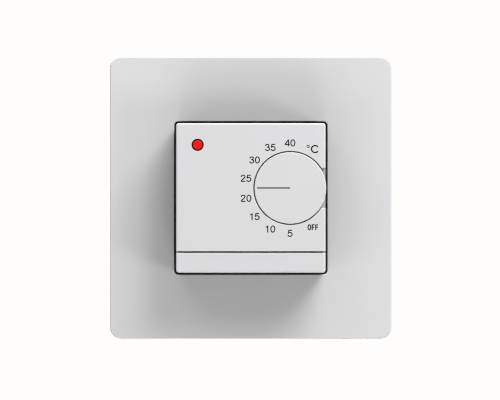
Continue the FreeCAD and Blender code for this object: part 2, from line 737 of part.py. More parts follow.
# ------------------------------------------------------------------ lower strip
strip = new_body("lower_strip")
low_edge, high_edge = -cover_side / 2, -groove_low
pad(strip, "strip_block", strip_level + 0.1, cover_front, lambda s: rect(s, low_edge, -low_edge, low_edge, high_edge))
round_edges(strip, "strip_corners", cover_corner, lambda e: e.BoundBox.YLength > 2 and e.BoundBox.ZMax < -22)
round_edges(
    strip,
    "strip_front_edge",
    cover_edge,
    lambda e: at_level(e, 21) and not (abs(e.BoundBox.ZMin + 16.54) < 1e-4 and abs(e.BoundBox.ZMax + 16.54) < 1e-4),
)
round_edges(
    strip,
    "strip_groove_edge",
    0.12,
    lambda e: at_level(e, 21) and abs(e.BoundBox.ZMin + 16.54) < 1e-4 and abs(e.BoundBox.ZMax + 16.54) < 1e-4,
)
pocket(strip, "strip_hollow", strip_level, cover_front - 1.5, lambda s: rect(s, -21.3, 21.3, -21.5, -17.47))


def hooks(s):
    rect(s, -15.5, -12.5, -19.55, -18.7)
    rect(s, 12.5, 15.5, -19.55, -18.7)


def barbs(s):
    rect(s, -15.5, -12.5, -20.3, -18.7)
    rect(s, 12.5, 15.5, -20.3, -18.7)


pad(strip, "strip_hooks", 13.2, cover_front - 1, hooks)
pad(strip, "strip_barbs", 13.2, strip_level - 1.75, barbs)
node(strip)

# ------------------------------------------------------------------ cover screw behind the strip
screw = revolve(
    "cover_screw",
    [(0, 17.4), (1.3, 17.4), (1.75, 16.9), (1.75, 16.0), (1.0, 16.0), (1.0, 7.2), (0.3, 6.0), (0, 6.0)],
    0,
    -19.3,
)
sk = sketch(screw, "cover_screw_slot_sketch", 17.4)
rect(sk, -2, 2, -0.25, 0.25)
f = screw.newObject("PartDesign::Pocket", "cover_screw_slot")
f.Profile = sk
f.Length = 0.8
node(screw)

# ------------------------------------------------------------------ dial knob, with its pointer line
knob = new_body("dial_knob")
rim_level = well_level + 0.5
pad(knob, "knob_disc", ledge_level + 0.35, cover_front, lambda s: circle(s, knob_size, knob_x, knob_z))
pad(knob, "knob_skirt", rim_level, ledge_level + 0.6, lambda s: circle(s, skirt_size, knob_x, knob_z))
round_edges(knob, "knob_front_edge", 0.24, lambda e: at_level(e, 21))
pocket(knob, "knob_hollow", rim_level, cover_front - 1.7, lambda s: (circle(s, skirt_size - 1.2, knob_x, knob_z),))
pad(knob, "knob_hub", rim_level - 0.3, cover_front - 1.2, lambda s: circle(s, 4.6, knob_x, knob_z))
pad(knob, "knob_peg", 13.45, cover_front - 1.2, lambda s: circle(s, stop_peg, knob_x + stop_radius, knob_z))
sk = sketch(knob, "knob_rib_sketch", rim_level + 0.6)
rect(sk, knob_x - 0.5, knob_x + 0.5, knob_z + 4, knob_z + 9)
rib = knob.newObject("PartDesign::Pad", "knob_rib")
rib.Profile = sk
put(rib, "Length", 5)
rect_low = sketch(knob, "knob_rib_low_sketch", rim_level + 0.6)
rect(rect_low, knob_x - 0.5, knob_x + 0.5, knob_z - 9, knob_z - 4)
rib_low = knob.newObject("PartDesign::Pad", "knob_rib_low")
rib_low.Profile = rect_low
put(rib_low, "Length", 5)
rect_side = sketch(knob, "knob_rib_side_sketch", rim_level + 0.6)
rect(rect_side, knob_x - 9, knob_x - 4, knob_z - 0.5, knob_z + 0.5)
rib_side = knob.newObject("PartDesign::Pad", "knob_rib_side")
rib_side.Profile = rect_side
put(rib_side, "Length", 5)
pocket(knob, "knob_bore", rim_level - 1, 19.1, lambda s: chord_circle(s, 3.03, knob_x, knob_z, knob_x + 1.83))
pocket(knob, "knob_pointer_groove", cover_front - 0.4, cover_front, lambda s: rect(s, knob_x - 10.05, knob_x - 0.1, knob_z - 0.23, knob_z + 0.23))
node(knob)
node(box("dial_pointer", knob_x - 10.05, knob_x - 0.1, cover_front - 0.4, cover_front - 0.12, knob_z - 0.23, knob_z + 0.23))

# ------------------------------------------------------------------ indicator: lens and light-emitting diode
node(
    revolve(
        "indicator_lens",
        [(0, 12.9), (1.1, 12.9), (lamp_size, 13.4), (lamp_size, 18.2), (2.4, 18.2), (2.4, 19.35), (lamp_size, 19.35), (lamp_size, 20.75), (1.3, 20.93), (1.0, 21.05), (0.5, 21.13), (0, 21.15)],
        -lamp_x,
        lamp_z,
    )
)
bezel = revolve("indicator_bezel", [(lamp_size + 0.02, 19.37), (lamp_hole - 0.02, 19.37), (lamp_hole - 0.02, 20.95), (lamp_size + 0.02, 20.95)], -lamp_x, lamp_z)
node(bezel)
led_dome = revolve("led_dome", [(0, 7.9), (1.9, 7.9), (1.9, 8.9), (1.5, 8.9), (1.5, 11.3), (1.15, 12.2), (0.6, 12.6), (0, 12.7)], -lamp_x, lamp_z)
node(led_dome)
led_leg_a = box("led_leg_a", -lamp_x - 1.52, -lamp_x - 1.02, 4.9, 7.9, lamp_z - 0.25, lamp_z + 0.25)
led_leg_b = box("led_leg_b", -lamp_x + 1.02, -lamp_x + 1.52, 4.9, 7.9, lamp_z - 0.25, lamp_z + 0.25)
node(group("led_legs", [led_leg_a, led_leg_b]))

# ------------------------------------------------------------------ control board
board_front = board_level + board_thick
board = new_body("control_board")
pad(board, "board_blank", board_level, board_front, lambda s: rounded(s, board_side, board_side, 1.0))
pocket(board, "board_boss_notch", board_level, board_front, lambda s: rect(s, -3.4, 3.4, -20, -17.2))
pocket(
    board,
    "board_leg_holes",
    board_level,
    board_front,
    lambda s: [circle(s, 0.42, -lamp_x + dx, lamp_z) for dx in (-1.27, 1.27)]
    + [circle(s, 0.3, -12.6 + dx, -14.6) for dx in (-0.5, 0.5)]
    + [circle(s, 0.55, -9.6 + 2.54 * i, -8) for i in range(4)]
    + [circle(s, 0.55, knob_x - 2.54 + 2.54 * i, knob_z - 8.2) for i in range(3)]
    + [circle(s, 1.1, side * 17.2, -10) for side in (-1, 1)]
    + [circle(s, 3.3, knob_x, knob_z)],
)
node(board)
board_screws = new_body("board_screws")
pad(board_screws, "board_screw_shanks", 3.6, board_front + 0.5, lambda s: [circle(s, 0.8, side * 17.2, -10) for side in (-1, 1)])
pad(board_screws, "board_screw_heads", board_front, board_front + 1.2, lambda s: [circle(s, 1.6, side * 17.2, -10) for side in (-1, 1)])
pocket(board_screws, "board_screw_slots", board_front + 0.6, board_front + 1.2, lambda s: [rect(s, side * 17.2 - 2, side * 17.2 + 2, -10.2, -9.8) for side in (-1, 1)])
node(board_screws)

# ------------------------------------------------------------------ setpoint potentiometer with its off switch
node(
    revolve(
        "pot_can",
        [(3.2, 13.7), (3.2, 12.3), (6.5, 12.3), (6.5, board_front + 0.9), (5.7, board_front + 0.9), (5.7, 11.5), (2.2, 11.5), (2.2, 13.7)],
        knob_x,
        knob_z,
    )
)
pot_base = new_body("pot_base")
pad(pot_base, "pot_base_disc", board_front, board_front + 0.9, lambda s: (circle(s, 6.5, knob_x, knob_z), circle(s, 2.6, knob_x, knob_z)))
pad(pot_base, "pot_base_tongue", board_front, board_front + 0.9, lambda s: rect(s, knob_x - 3.9, knob_x + 3.9, knob_z - 9.0, knob_z - 5.5))
pocket(pot_base, "pot_base_pin_holes", board_front, board_front + 0.9, lambda s: [circle(s, 0.45, knob_x - 2.54 + 2.54 * i, knob_z - 8.2) for i in range(3)])
node(pot_base)
track = new_body("pot_track")
pad(track, "pot_track_ring", board_front + 0.9, board_front + 1.05, lambda s: (circle(s, 5.2, knob_x, knob_z), circle(s, 3.4, knob_x, knob_z)))
pocket(track, "pot_track_gap", board_front + 0.9, board_front + 1.05, lambda s: rect(s, knob_x - 1.2, knob_x + 1.2, knob_z - 6, knob_z))
node(track)
pins = new_body("pot_pins")
pad(pins, "pot_pin_rods", 4.9, board_front + 1.5, lambda s: [circle(s, 0.4, knob_x - 2.54 + 2.54 * i, knob_z - 8.2) for i in range(3)])
node(pins)
shaft = revolve(
    "pot_shaft",
    [(0, 4.1), (1.6, 4.1), (1.6, 9.7), (5.3, 9.7), (5.3, 11.2), (2.1, 11.2), (2.1, 13.85), (3.0, 13.85), (3.0, 18.7), (2.7, 19.0), (0, 19.0)],
    knob_x,
    knob_z,
)
sk = sketch(shaft, "pot_shaft_flat_sketch", 19.5)
rect(sk, 1.8, 4, -4, 4)
f = shaft.newObject("PartDesign::Pocket", "pot_shaft_flat")
f.Profile = sk
f.Length = 5.2
sk = sketch(shaft, "pot_shaft_cam_sketch", 4.1)
cam_turn = math.radians(60)
cam = [(0.0, -0.8), (3.7, -0.8), (3.7, 0.8), (0.0, 0.8)]
polygon(sk, [(x * math.cos(cam_turn) - y * math.sin(cam_turn), x * math.sin(cam_turn) + y * math.cos(cam_turn)) for x, y in cam])
f = shaft.newObject("PartDesign::Pad", "pot_shaft_cam")
f.Profile = sk
f.Length = 1.2
node(shaft)
wiper = new_body("pot_wiper")
pad(wiper, "pot_wiper_ring", 9.4, 9.7, lambda s: (circle(s, 4.9, knob_x, knob_z), circle(s, 2.0, knob_x, knob_z)))
pad(wiper, "pot_wiper_finger", board_front + 1.15, 9.5, lambda s: rect(s, knob_x - 4.8, knob_x - 3.9, knob_z - 0.5, knob_z + 0.5))
node(wiper)
switch = new_body("off_switch_case")
pad(switch, "switch_block", 3.3, board_level, lambda s: rounded(s, 11.6, 11.6, 0.8, knob_x, knob_z))
pocket(switch, "switch_hollow", 3.9, 5.6, lambda s: rounded(s, 10.2, 10.2, 0.6, knob_x, knob_z))
pocket(switch, "switch_shaft_hole", 5.0, board_level, lambda s: circle(s, 1.9, knob_x, knob_z))
pad(switch, "switch_pivot_post", 3.8, 5.4, lambda s: circle(s, 0.4, knob_x - 4.15, knob_z - 3.6))
node(switch)
lever = new_body("off_switch_lever")
pad(lever, "lever_blade", 4.1, 5.3, lambda s: rect(s, knob_x - 4.3, knob_x - 4.0, knob_z - 3.3, knob_z + 2.7))
pad(lever, "lever_eye", 4.1, 5.3, lambda s: circle(s, 0.8, knob_x - 4.15, knob_z - 3.6))
pocket(lever, "lever_bore", 4.0, 5.4, lambda s: circle(s, 0.46, knob_x - 4.15, knob_z - 3.6))
node(lever)
contact = new_body("off_switch_contact")
pad(contact, "contact_block", 3.9, 5.3, lambda s: rect(s, knob_x - 3.94, knob_x - 3.5, knob_z + 2.1, knob_z + 2.7))
node(contact)

# ------------------------------------------------------------------ temperature sensor
sensor_x, sensor_z = Q.of(-12.6), Q.of(-14.6)
node(revolve("sensor_bead", [(0, 9.6), (0.8, 9.6), (1.25, 10.3), (1.4, 11.2), (1.2, 12.2), (0.7, 12.9), (0, 13.1)], sensor_x, sensor_z))
sensor_leads = new_body("sensor_leads")
pad(sensor_leads, "sensor_lead_rods", 5.2, 9.6, lambda s: [circle(s, 0.25, sensor_x + dx, sensor_z) for dx in (-0.5, 0.5)])
node(sensor_leads)

# ------------------------------------------------------------------ comparator and board link
chip = new_body("comparator_chip")
pad(chip, "chip_block", board_front + 0.25, board_front + 1.75, lambda s: rect(s, -11, -6, -1, 3))
node(chip)


def chip_legs(s):
    for i in range(4):
        x = -10.4 + 1.27 * i
        rect(s, x - 0.2, x + 0.2, 3.0, 4.1)
        rect(s, x - 0.2, x + 0.2, -2.1, -1.0)


legs = new_body("chip_legs")
pad(legs, "chip_leg_bars", board_front, board_front + 0.6, chip_legs)
node(legs)
header = new_body("link_header")
pad(header, "header_block", -3, -0.5, lambda s: rect(s, -11.2, -0.4, -9.3, -6.7))
pocket(header, "header_pin_holes", -3, -0.5, lambda s: [circle(s, 0.46, -9.6 + 2.54 * i, -8) for i in range(4)])
node(header)
link = new_body("link_pins")
pad(link, "link_pin_rods", -5.4, board_front + 0.5, lambda s: [circle(s, 0.45, -9.6 + 2.54 * i, -8) for i in range(4)])
node(link)

# ------------------------------------------------------------------ power board
power = new_body("power_board")
power_front = power_level + board_thick
pad(power, "power_blank", power_level, power_front, lambda s: octagon(s, 21.6, 6.2))
pocket(power, "power_boss_notches", power_level, power_front, lambda s: four(s, lambda s, sx, sz: circle(s, 3.1, screw_place * sx, screw_place * sz)))
pocket(
    power,
    "power_pin_holes",
    power_level,
    power_front,
    lambda s: [circle(s, 0.55, -9.6 + 2.54 * i, -8) for i in range(4)]
    + [rect(s, pole_pitch * (i - 2.5) - 0.7, pole_pitch * (i - 2.5) + 0.7, -16.9, -16.1) for i in range(6)]
    + [circle(s, 0.6, x, z) for x, z in ((-12, 10.5), (-12, 19), (6.5, 19.2), (11.5, 14.85), (11.5, 19.2))]
    + [circle(s, 0.4, x, z) for x in (-18.4, -15.6, -12.8) for z in (-9.8, -2.8)]
    + [circle(s, 0.4, 17.2, z) for z in (-6.0, 5.4)]
    + [circle(s, 0.4, 12.3, z) for z in (-0.5, 4.9)],
)
node(power)

# ------------------------------------------------------------------ relay
node(box("relay_base", -13.6, 13.6, -6.2, -4.6, 8.6, 21.1))
case = new_body("relay_case")
pad(case, "relay_case_block", -19.6, -6.2, lambda s: rect(s, -13.6, 13.6, 8.6, 21.1))
pocket(case, "relay_case_hollow", -18.8, -6.2, lambda s: rect(s, -12.8, 12.8, 9.4, 20.3))
node(case)
coil_level, coil_z = Q.of(-13), Q.of(14.85)
flange_a = rod("bobbin_flange_a", "x", 4.8, -10, -9, coil_level, coil_z)
flange_b = rod("bobbin_flange_b", "x", 4.8, 2, 3, coil_level, coil_z)
bobbin_tube = rod("bobbin_tube", "x", 2.2, -9.5, 2.5, coil_level, coil_z)
bobbin_solid = fuse("bobbin_solid", [flange_a, flange_b, bobbin_tube])
bobbin_bore = rod("bobbin_bore", "x", 1.65, -11, 4, coil_level, coil_z)
node(cut("relay_bobbin", bobbin_solid, bobbin_bore))
winding_out = rod("winding_out", "x", 4.0, -8.95, 1.95, coil_level, coil_z)
winding_in = rod("winding_in", "x", 2.22, -9.5, 2.5, coil_level, coil_z)
node(cut("relay_winding", winding_out, winding_in))
core_rod = rod("core_rod", "x", 1.6, -11.2, 3.4, coil_level, coil_z)
yoke_end = box("yoke_end", -12.2, -10.8, -18.6, -6.6, 12, 17.7)
yoke_top = box("yoke_top", -12.2, 3.95, -18.6, -17.8, 12, 17.7)
node(fuse("relay_yoke", [core_rod, yoke_end, yoke_top]))
arm_plate = box("arm_plate", 4.2, 5.2, -18.4, -8.9, 11.4, 18.3)
arm_blade = box("arm_blade", 5.2, 5.5, -16, -6.9, 12.8, 16.9)
arm_button = rod("arm_button", "x", 0.7, 4.4, 5.3, -7.5, coil_z)
node(fuse("relay_armature", [arm_plate, arm_blade, arm_button]))
fixed_post = box("fixed_post", 2.6, 3.0, -8.0, -6.2, 13.6, 16.1)
fixed_button = rod("fixed_button", "x", 0.65, 2.9, 3.5, -7.3, coil_z)
node(fuse("relay_fixed_contact", [fixed_post, fixed_button]))
relay_pins = new_body("relay_pins")
pad(relay_pins, "relay_pin_legs", power_level, power_front + 0.8, lambda s: [circle(s, 0.45, x, z) for x, z in ((-12, 10.5), (-12, 19), (6.5, 19.2), (11.5, 14.85), (11.5, 19.2))])
node(relay_pins)

# ------------------------------------------------------------------ other power parts
film = new_body("dropper_capacitor")
pad(film, "film_block", -18.6, power_level, lambda s: rect(s, -19, -1.6, -1.8, 6.2))
round_edges(film, "film_edges", 0.8, lambda e: e.Curve.TypeId == "Part::GeomLine" and e.BoundBox.YLength > 5)
node(film)
node(
    revolve(
        "smoothing_capacitor",
        [(0, power_level), (4, power_level), (4, -6.6), (3.7, -6.9), (3.7, -7.3), (4, -7.6), (4, -16.4), (3.6, -16.8), (0, -16.8)],
        4.6,
        2.2,
    )
)
node(rod("varistor", "x", 4.8, 10.6, 14.0, -10.2, 2.2))
node(rod("fuse_resistor", "z", 1.6, -5.2, 4.6, 17.2, -6.4))
diodes = [rod("diode_%d" % i, "z", 1.0, -9.0, -3.6, -18.4 + 2.8 * i, -5.8) for i in range(3)]
node(group("rectifier_diodes", diodes))
leads = []
for k, x in enumerate((-18.4, -15.6, -12.8, 17.2)):
    level, body_low, body_high = (-5.8, -9.0, -3.6) if k < 3 else (-6.4, -5.2, 4.6)
    for side, end in ((-1, body_low), (1, body_high)):
        out = end + 0.8 * side
        along = rod("lead_along_%d_%d" % (k, side + 1), "z", 0.3, min(end, out + 0.4 * side), max(end, out + 0.4 * side), x, level)
        down = rod("lead_down_%d_%d" % (k, side + 1), "f", 0.25, level, -2.5, x, out)
        leads.append(fuse("lead_%d_%d" % (k, side + 1), [along, down]))
leads += [rod("varistor_lead_%d" % i, "f", 0.3, -6.03, -2.5, 12.3, z) for i, z in enumerate((-0.5, 4.9))]
node(group("component_leads", leads))

# ------------------------------------------------------------------ terminal block
block = new_body("terminal_block")
block_low, block_high = Q.of(-22.6), -step_low - 0.1
block_half = pole_pitch * 3 + 0.2
pad(block, "block_body", -23.4, -step_deep, lambda s: rect(s, -block_half, block_half, block_low, block_high))
round_edges(block, "block_rear_edge", 0.5, lambda e: at_level(e, -23.4))


def wells(s):
    for i in range(6):
        circle(s, 1.95, pole_pitch * (i - 2.5), -15.6)


def screw_wells_cut(body):
    sk = sketch(body, "block_screw_wells_sketch", -24)
    wells(sk)
    f = body.newObject("PartDesign::Pocket", "block_screw_wells")
    f.Profile = sk
    f.Reversed = True
    f.Length = 5.0
    return f


screw_wells_cut(block)


def cages_room(s):
    for i in range(6):
        x = pole_pitch * (i - 2.5)
        rect(s, x - 2.1, x + 2.1, -18.2, -13.2)


pocket(block, "block_cage_rooms", -19.1, -step_deep, cages_room)
sk = sketch(block, "block_wire_sketch", None, "XY_Plane")
sk.AttachmentOffset = Placement(Vector(0, 0, -23), Rotation())
for i in range(6):
    circle(sk, 1.8, pole_pitch * (i - 2.5), 14.1)
f = block.newObject("PartDesign::Pocket", "block_wire_entries")
f.Profile = sk
f.Reversed = True
f.Length = 7.0
node(block)

cages = new_body("terminal_cages")


def cage_outer(s):
    for i in range(6):
        x = pole_pitch * (i - 2.5)
        rect(s, x - 1.95, x + 1.95, -18.0, -13.4)


pad(cages, "cage_blocks", -18.4, -11.4, cage_outer)
sk = sketch(cages, "cage_window_sketch", None, "XY_Plane")
sk.AttachmentOffset = Placement(Vector(0, 0, -12), Rotation())
for i in range(6):
    x = pole_pitch * (i - 2.5)
    rect(sk, x - 1.45, x + 1.45, 12.0, 16.9)
f = cages.newObject("PartDesign::Pocket", "cage_windows")
f.Profile = sk
f.Length = 8.0
pocket(cages, "cage_threads", -18.5, -16.6, lambda s: [circle(s, 1.3, pole_pitch * (i - 2.5), -15.6) for i in range(6)])
node(cages)

bars = new_body("terminal_bars")


def bar_tops(s):
    for i in range(6):
        x = pole_pitch * (i - 2.5)
        rect(s, x - 1.2, x + 1.2, -18.1, -13.3)


pad(bars, "bar_plates", -16.8, -16.1, bar_tops)
node(bars)

tails = new_body("terminal_tails")


def tail_bars(s):
    for i in range(6):
        x = pole_pitch * (i - 2.5)
        rect(s, x - 0.6, x + 0.6, -16.8, -16.2)


pad(tails, "tail_rods", -11.4, -2.6, tail_bars)
node(tails)

tscrews = new_body("terminal_screws")
pad(tscrews, "terminal_screw_heads", -23.1, -21.5, lambda s: [circle(s, 1.85, pole_pitch * (i - 2.5), -15.6) for i in range(6)])
pad(tscrews, "terminal_screw_shanks", -22, -16.8, lambda s: [circle(s, 1.25, pole_pitch * (i - 2.5), -15.6) for i in range(6)])
sk = sketch(tscrews, "terminal_screw_slot_sketch", -23.1)
for i in range(6):
    x = pole_pitch * (i - 2.5)
    rect(sk, x - 2.0, x + 2.0, -15.85, -15.35)
f = tscrews.newObject("PartDesign::Pocket", "terminal_screw_slots")
f.Profile = sk
f.Reversed = True
f.Length = 0.9
node(tscrews)

# ------------------------------------------------------------------ recompute, test and write
doc.recompute()
bad = [o.Label for o in doc.Objects if "Invalid" in o.State or "Error" in o.State]
if bad:
    raise RuntimeError("objects failed: " + ", ".join(bad))
os.makedirs("parts", exist_ok=True)
for old in os.listdir("parts"):
    if old.endswith(".step"):
        os.remove(os.path.join("parts", old))
for o in NODES:
    shape = o.Shape
    if shape.isNull() or not shape.isValid() or not shape.Solids:
        raise RuntimeError("bad shape: " + o.Label)
for o in NODES:
    shape = o.Shape
    b = shape.BoundBox
    print(
        "%-22s solids %d  vol %9.2f  x %7.2f %7.2f  y %7.2f %7.2f  z %7.2f %7.2f"
        % (o.Label, len(shape.Solids), shape.Volume, b.XMin, b.XMax, b.YMin, b.YMax, b.ZMin, b.ZMax)
    )
    shape.exportStep(os.path.join("parts", o.Label + ".step"))
print("nodes", len(NODES))
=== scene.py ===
"""Looks for the flush-mounted dial thermostat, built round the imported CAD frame. Metres; +Z up, the room is on -Y."""

import json
import math

import bpy
from mathutils import Matrix, Vector


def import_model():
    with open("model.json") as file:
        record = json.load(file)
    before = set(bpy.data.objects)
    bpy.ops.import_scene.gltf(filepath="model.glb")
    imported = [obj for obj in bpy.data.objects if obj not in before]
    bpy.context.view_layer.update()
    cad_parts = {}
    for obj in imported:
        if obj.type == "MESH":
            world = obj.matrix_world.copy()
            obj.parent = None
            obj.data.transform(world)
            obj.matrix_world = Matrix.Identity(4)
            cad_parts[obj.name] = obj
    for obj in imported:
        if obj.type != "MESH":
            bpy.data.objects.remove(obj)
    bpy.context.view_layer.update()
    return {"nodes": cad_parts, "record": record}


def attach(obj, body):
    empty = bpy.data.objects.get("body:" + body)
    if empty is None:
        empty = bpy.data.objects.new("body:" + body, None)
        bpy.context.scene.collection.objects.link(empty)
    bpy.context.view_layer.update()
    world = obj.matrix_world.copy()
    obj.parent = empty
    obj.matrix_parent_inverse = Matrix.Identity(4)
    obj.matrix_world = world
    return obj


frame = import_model()

MM = 0.001
KNOB_X, KNOB_Z = 11.9 * MM, 3.0 * MM
FACE_Y = -21.0 * MM


# ------------------------------------------------------------------ colours
def lin(c):
    """One sRGB channel, 0 to 255, as linear light."""
    c = c / 255
    return c / 12.92 if c <= 0.04045 else ((c + 0.055) / 1.055) ** 2.4


def srgb(r, g, b):
    return (lin(r), lin(g), lin(b), 1.0)


# ------------------------------------------------------------------ node materials
class Mat:
    """A short way to write a node tree in the row frame's own coordinates."""

    def __init__(self, name):
        self.m = bpy.data.materials.new(name)
        self.m.use_nodes = True
        self.t = self.m.node_tree
        self.bsdf = next(n for n in self.t.nodes if n.type == "BSDF_PRINCIPLED")
        self.co = self.t.nodes.new("ShaderNodeTexCoord").outputs["Object"]

    def node(self, kind, **sockets):
        n = self.t.nodes.new(kind)
        for k, v in sockets.items():
            k = k.replace("_", " ")
            if isinstance(v, bpy.types.NodeSocket):
                self.t.links.new(v, n.inputs[k])
            else:
                n.inputs[k].default_value = v
        return n

    def link(self, a, b):
        self.t.links.new(a, b)

    def mapping(self, scale):
        n = self.node("ShaderNodeMapping", Vector=self.co)
        n.inputs["Scale"].default_value = scale
        return n.outputs["Vector"]

    def noise(self, scale, detail=2.0, rough=0.5, vector=None, distortion=0.0):
        n = self.node("ShaderNodeTexNoise", Vector=vector or self.co, Scale=scale, Detail=detail, Roughness=rough, Distortion=distortion)
        return n.outputs["Fac"]

    def ramp(self, fac, *stops):
        n = self.node("ShaderNodeValToRGB", Fac=fac)
        e = n.color_ramp.elements
        while len(e) < len(stops):
            e.new(0.5)
        for el, (pos, col) in zip(e, stops):
            el.position = pos
            el.color = col if len(col) == 4 else (*col, 1.0)
        return n.outputs["Color"]

    def span(self, fac, low, high, a=0.0, b=1.0):
        n = self.t.nodes.new("ShaderNodeMapRange")
        self.link(fac, n.inputs["Value"])
        for k, v in (("From Min", a), ("From Max", b), ("To Min", low), ("To Max", high)):
            n.inputs[k].default_value = v
        return n.outputs["Result"]

    def mix(self, fac, a, b, mode="MIX"):
        n = self.t.nodes.new("ShaderNodeMix")
        n.data_type = "RGBA"
        n.blend_type = mode
        for sock, v in ((n.inputs[0], fac), (n.inputs[6], a), (n.inputs[7], b)):
            if isinstance(v, bpy.types.NodeSocket):
                self.link(v, sock)
            else:
                sock.default_value = v
        return n.outputs[2]

    def math(self, op, a, b=0.0):
        n = self.t.nodes.new("ShaderNodeMath")
        n.operation = op
        for i, v in enumerate((a, b)):
            if isinstance(v, bpy.types.NodeSocket):
                self.link(v, n.inputs[i])
            else:
                n.inputs[i].default_value = v
        return n.outputs[0]

    def bump(self, height, distance, strength=1.0, normal=None):
        n = self.node("ShaderNodeBump", Height=height, Distance=distance, Strength=strength)
        if normal is not None:
            self.link(normal, n.inputs["Normal"])
        return n.outputs["Normal"]

    def set(self, **sockets):
        for k, v in sockets.items():
            s = self.bsdf.inputs[k.replace("_", " ")]
            if isinstance(v, bpy.types.NodeSocket):
                self.link(v, s)
            else:
                s.default_value = v
        return self


def shade(c, k):
    return (min(1, c[0] * k), min(1, c[1] * k), min(1, c[2] * k), 1.0)


def moulded(name, colour, rough=0.42, grain=0.012, grain_scale=7500, drift=0.02, specular=0.5):
    """Injection-moulded plastic: a fine spark-eroded grain, a slow drift of tone from the melt, and uneven polish."""
    m = Mat(name)
    slow = m.noise(38, 3, 0.55)
    fine = m.noise(grain_scale, 2, 0.6)
    cloud = m.noise(210, 4, 0.6)
    tone = m.ramp(slow, (0.3, shade(colour, 1 - drift)), (0.7, shade(colour, 1 + drift)))
    speck = m.ramp(fine, (0.25, (1 - drift * 1.2,) * 3), (0.75, (1.0,) * 3))
    m.set(Base_Color=m.mix(1.0, tone, speck, "MULTIPLY"))
    m.set(Roughness=m.span(cloud, rough - 0.05, rough + 0.06, 0.3, 0.7))
    waves = m.bump(m.noise(120, 2, 0.5), 0.00004, 0.25)
    m.set(Normal=m.bump(fine, grain * MM, 0.6, waves))
    m.bsdf.inputs["Specular IOR Level"].default_value = specular
    return m.m


def metal(name, colour, rough=0.3, grain=(60, 9000, 9000), spangle=0.0, drift=0.08):
    """Plated or tinned metal: rolled grain along one axis, a mottled plating, and fine scratches."""
    m = Mat(name)
    rolled = m.noise(1.0, 4, 0.6, m.mapping(grain))
    mottle = m.noise(420, 4, 0.6)
    tone = m.ramp(m.mix(0.5, rolled, mottle), (0.3, shade(colour, 1 - drift)), (0.7, shade(colour, 1 + drift)))
    if spangle:
        v = m.node("ShaderNodeTexVoronoi", Vector=m.co, Scale=900.0)
        cell = m.ramp(v.outputs["Color"], (0.2, (1 - spangle,) * 3), (0.8, (1.0,) * 3))
        tone = m.mix(1.0, tone, cell, "MULTIPLY")
    m.set(Base_Color=tone, Metallic=1.0)
    m.set(Roughness=m.span(mottle, rough - 0.07, rough + 0.12, 0.3, 0.7))
    m.set(Normal=m.bump(rolled, 0.000004, 0.5))
    return m.m


def laminate(name):
    """Green solder mask over copper: tracks show as a lighter, raised pattern between bare-laminate gaps."""
    m = Mat(name)
    v = m.node("ShaderNodeTexBrick", Vector=m.mapping((1, 0.001, 1)))
    for k, x in (("Scale", 210.0), ("Mortar Size", 0.03), ("Bias", 0.0), ("Brick Width", 0.9), ("Row Height", 0.32), ("Mortar Smooth", 0.1)):
        v.inputs[k].default_value = x
    swirl = m.noise(260, 1, 0.4, distortion=1.2)
    copper = m.ramp(swirl, (0.46, (0, 0, 0)), (0.48, (1, 1, 1)))
    track = m.mix(v.outputs["Fac"], copper, (0, 0, 0, 1))
    weave = m.noise(1800, 2, 0.5)
    base = m.mix(track, (0.006, 0.062, 0.03, 1), (0.014, 0.155, 0.062, 1))
    m.set(Base_Color=m.mix(m.span(weave, 0.0, 0.25), base, (0.01, 0.09, 0.04, 1)))
    m.set(Roughness=m.span(weave, 0.26, 0.4))
    m.set(Normal=m.bump(track, 0.00003, 0.7))
    m.bsdf.inputs["Coat Weight"].default_value = 0.25
    m.bsdf.inputs["Coat Roughness"].default_value = 0.15
    return m.m


def epoxy(name, colour, rough=0.2, dimple=0.00003):
    """A dipped or glossy coat: slightly uneven, with a slow change of depth."""
    m = Mat(name)
    slow = m.noise(300, 3, 0.5)
    m.set(Base_Color=m.ramp(slow, (0.3, shade(colour, 0.86)), (0.7, shade(colour, 1.1))))
    m.set(Roughness=m.span(m.noise(900, 2, 0.5), rough - 0.06, rough + 0.08))
    m.set(Normal=m.bump(slow, dimple, 0.5))
    return m.m


def winding(name):
    """Enamelled wire laid side by side along X; the colour darkens to near-black between the turns, a painted shade in
    the creases.
    """
    m = Mat(name)
    w = m.node("ShaderNodeTexWave", Vector=m.co, Scale=1500.0, Distortion=0.4, Detail=1.0)
    w.wave_type = "BANDS"
    w.bands_direction = "X"
    # The dark end of this ramp is painted shade in the creases between the turns; the copper end is the wire's own
    # colour.
    m.set(Base_Color=m.ramp(w.outputs["Fac"], (0.0, (0.1, 0.02, 0.006)), (0.6, (0.55, 0.19, 0.06))), Metallic=0.85)
    m.set(Roughness=m.span(m.noise(1500), 0.25, 0.4))
    m.set(Normal=m.bump(w.outputs["Fac"], 0.00008, 0.9))
    return m.m


WHITE = (0.80, 0.80, 0.812, 1.0)
white = moulded("white_plastic", WHITE, 0.4, 0.006, 7000, 0.006, 0.5)
dial_white = moulded("dial_plastic", (0.80, 0.80, 0.812, 1.0), 0.38, 0.005, 8000, 0.005, 0.5)
dark = moulded("dark_plastic", (0.045, 0.045, 0.047, 1), 0.5, 0.02, 5000, 0.12, 0.4)
housing = moulded("housing_plastic", (0.055, 0.057, 0.06, 1), 0.48, 0.03, 3600, 0.08, 0.45)
terminal_grey = moulded("terminal_grey", (0.21, 0.225, 0.225, 1), 0.45, 0.02, 4200, 0.06, 0.5)
black = moulded("black_plastic", (0.015, 0.015, 0.016, 1), 0.42, 0.015, 5200, 0.12, 0.5)
soot = moulded("bezel_black", (0.006, 0.006, 0.0065, 1), 0.62, 0.02, 6000, 0.12, 0.12)
relay_blue = moulded("relay_blue", (0.012, 0.045, 0.2, 1), 0.36, 0.012, 5200, 0.06, 0.5)
nylon = moulded("nylon_shaft", (0.62, 0.59, 0.52, 1), 0.45, 0.01, 5200, 0.03, 0.45)
resistor = moulded("resistor_tan", (0.5, 0.38, 0.22, 1), 0.7, 0.03, 2600, 0.12, 0.3)
carbon = moulded("track_carbon", (0.02, 0.018, 0.016, 1), 0.55, 0.01, 3000, 0.1, 0.4)
